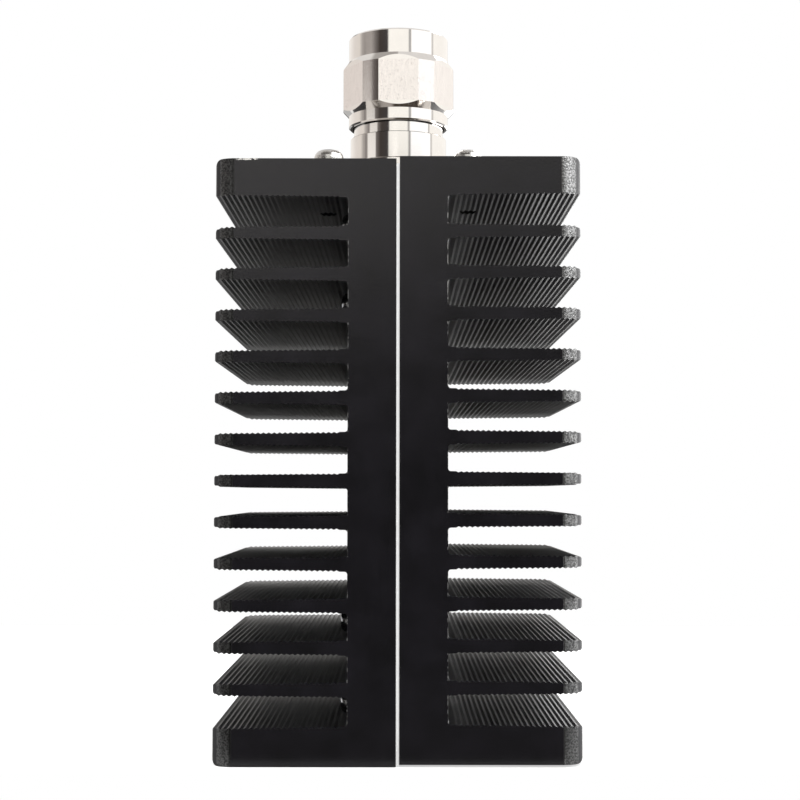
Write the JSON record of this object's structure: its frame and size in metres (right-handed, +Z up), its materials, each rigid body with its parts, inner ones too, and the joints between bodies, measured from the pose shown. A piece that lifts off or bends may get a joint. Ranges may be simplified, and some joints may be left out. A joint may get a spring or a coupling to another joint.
{
  "type": "coaxial termination",
  "caption": "Coaxial termination: a plug connector with a spinning coupling nut on a square block of two clamped, black finned heat sink halves, with a power resistor inside.",
  "frame": {"origin": "on the floor under the middle of the block, where the left half stands", "axes": "+Z up the connector's axis, out of its mouth; X across the two halves, along the fins; the pictured face looks along -Y"},
  "size_m": [0.061, 0.06, 0.128],
  "materials": {
    "black_anodised": "black anodised extrusion, fine sawn front and back, blasted edges",
    "white_pad": "white silicone thermal pad, matt",
    "nickel_body": "turned brass, bright nickel plated",
    "nickel_nut": "turned and milled brass, bright nickel plated",
    "spring_bronze": "phosphor bronze strip, bare",
    "red_silicone": "silicone rubber, satin",
    "white_ptfe": "turned fluoropolymer, waxy",
    "gold_pin": "turned brass, gold plated",
    "screw_steel": "cold headed steel, nickel plated",
    "copper_flange": "copper, milled",
    "alumina": "sintered ceramic, matt",
    "silver_tab": "silver strip, soldered"
  },
  "bodies": {
    "housing": {"heatsink_left": "black_anodised", "heatsink_right": "black_anodised", "thermal_pad": "white_pad", "connector_body": "nickel_body", "nut_retaining_ring": "spring_bronze", "nut_gasket": "red_silicone", "connector_insulator": "white_ptfe", "centre_pin": "gold_pin", "flange_screw_1": "screw_steel", "flange_screw_2": "screw_steel", "flange_screw_3": "screw_steel", "flange_screw_4": "screw_steel", "clamp_screw_1": "screw_steel", "clamp_screw_2": "screw_steel", "clamp_screw_3": "screw_steel", "clamp_screw_4": "screw_steel", "clamp_screw_5": "screw_steel", "clamp_screw_6": "screw_steel", "clamp_screw_7": "screw_steel", "clamp_screw_8": "screw_steel", "resistor_flange": "copper_flange", "resistor_substrate": "alumina", "resistor_cover": "alumina", "resistor_tab": "silver_tab", "resistor_screw_1": "screw_steel", "resistor_screw_2": "screw_steel"},
    "nut": {"coupling_nut": "nickel_nut"}
  },
  "joints": [
    {"name": "coupling_nut_spin", "type": "hinge", "parent": "housing", "child": "nut", "pos_m": [0, 0, 0.1143], "axis": [0, 0, 1], "continuous": true}
  ]
}
